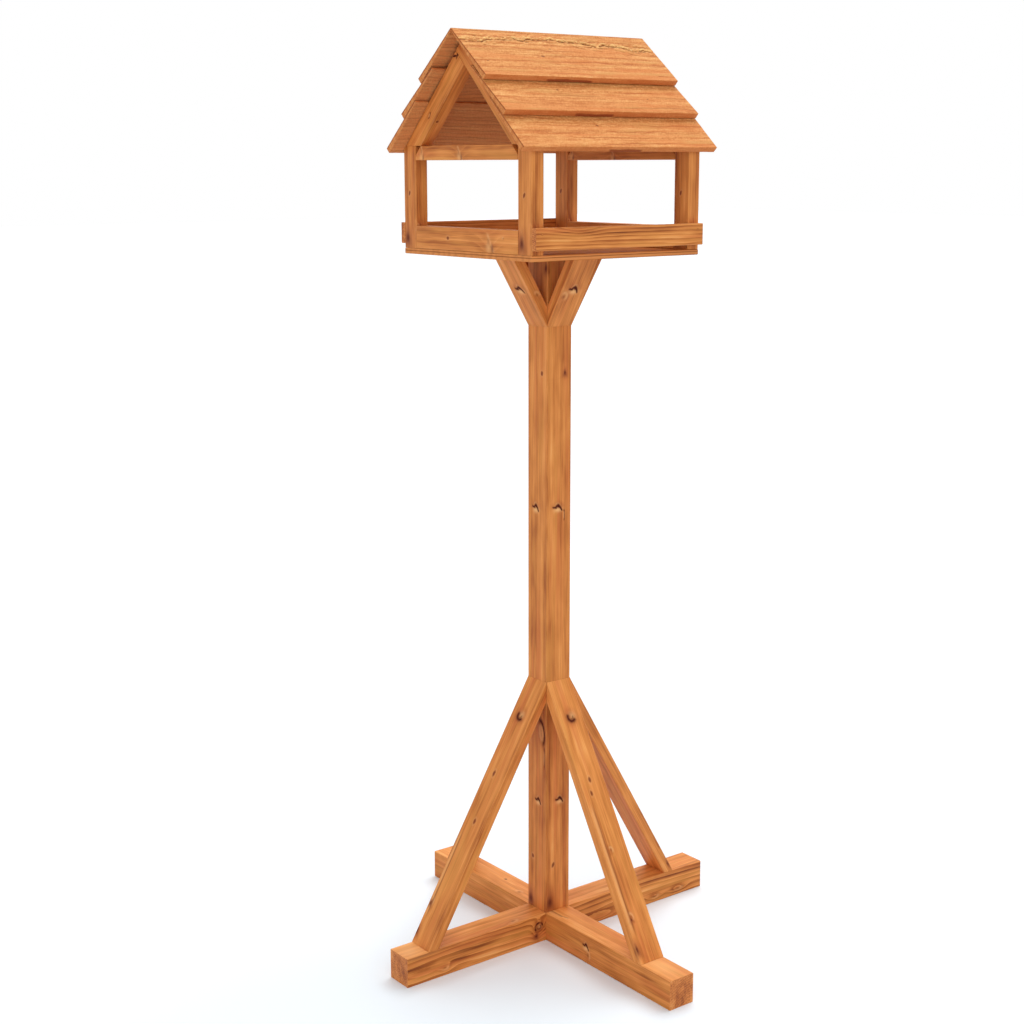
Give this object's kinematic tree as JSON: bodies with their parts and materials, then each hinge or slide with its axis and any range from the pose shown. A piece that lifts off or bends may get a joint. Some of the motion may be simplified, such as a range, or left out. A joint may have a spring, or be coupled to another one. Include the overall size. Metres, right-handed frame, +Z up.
{
  "type": "bird table",
  "caption": "Free-standing timber bird table: a crossed foot, a braced square post and an open tray under a gabled roof of lapped boards.",
  "frame": {"origin": "on the ground, at the middle of the foot's bounding box; the post's axis stands at x -12.5 mm, y +12.5 mm, because both foot beams are lapped off their middles", "axes": "+Z up; X along the roof's ridge; the two gables face -X and +X, the two roof slopes and the side boards face -Y and +Y"},
  "size_m": [0.584, 0.584, 1.3577],
  "materials": {
    "stained_timber": "planed softwood under an orange-brown stain, satin",
    "sawn_board": "rough sawn softwood under the same stain, matt",
    "tray_ply": "stained plywood, satin",
    "zinc_steel": "zinc plated"
  },
  "bodies": {
    "root": {"foot_beam_cross": "stained_timber", "foot_beam_through": "stained_timber", "post": "stained_timber", "lower_brace_right": "stained_timber", "lower_brace_back": "stained_timber", "lower_brace_left": "stained_timber", "lower_brace_front": "stained_timber", "upper_brace_right": "stained_timber", "upper_brace_back": "stained_timber", "upper_brace_left": "stained_timber", "upper_brace_front": "stained_timber", "tray_floor": "tray_ply", "corner_post_front_left": "stained_timber", "corner_post_front_right": "stained_timber", "corner_post_back_left": "stained_timber", "corner_post_back_right": "stained_timber", "lower_rail_left": "stained_timber", "lower_rail_right": "stained_timber", "upper_rail_left": "stained_timber", "upper_rail_right": "stained_timber", "side_board_front": "stained_timber", "side_board_back": "stained_timber", "rafter_front_left": "stained_timber", "rafter_front_right": "stained_timber", "rafter_back_left": "stained_timber", "rafter_back_right": "stained_timber", "roof_board_front_eave": "sawn_board", "roof_board_front_middle": "sawn_board", "roof_board_front_ridge": "sawn_board", "roof_board_back_eave": "sawn_board", "roof_board_back_middle": "sawn_board", "roof_board_back_ridge": "sawn_board", "coach_screw": "zinc_steel", "coach_screw_washer": "zinc_steel", "foot_screw_right": "zinc_steel", "foot_screw_back": "zinc_steel", "foot_screw_left": "zinc_steel", "foot_screw_front": "zinc_steel", "post_screw": "zinc_steel", "brace_screw_right": "zinc_steel", "brace_screw_back": "zinc_steel", "brace_screw_left": "zinc_steel", "brace_screw_front": "zinc_steel", "corner_screw_front_left": "zinc_steel", "corner_screw_front_right": "zinc_steel", "corner_screw_back_left": "zinc_steel", "corner_screw_back_right": "zinc_steel", "rail_screw_front_left": "zinc_steel", "rail_screw_front_right": "zinc_steel", "rail_screw_back_left": "zinc_steel", "rail_screw_back_right": "zinc_steel", "rafter_screw_front_left": "zinc_steel", "rafter_screw_front_right": "zinc_steel", "rafter_screw_back_left": "zinc_steel", "rafter_screw_back_right": "zinc_steel", "board_pin_front_left": "zinc_steel", "board_pin_front_right": "zinc_steel", "board_pin_back_left": "zinc_steel", "board_pin_back_right": "zinc_steel"}
  },
  "joints": []
}
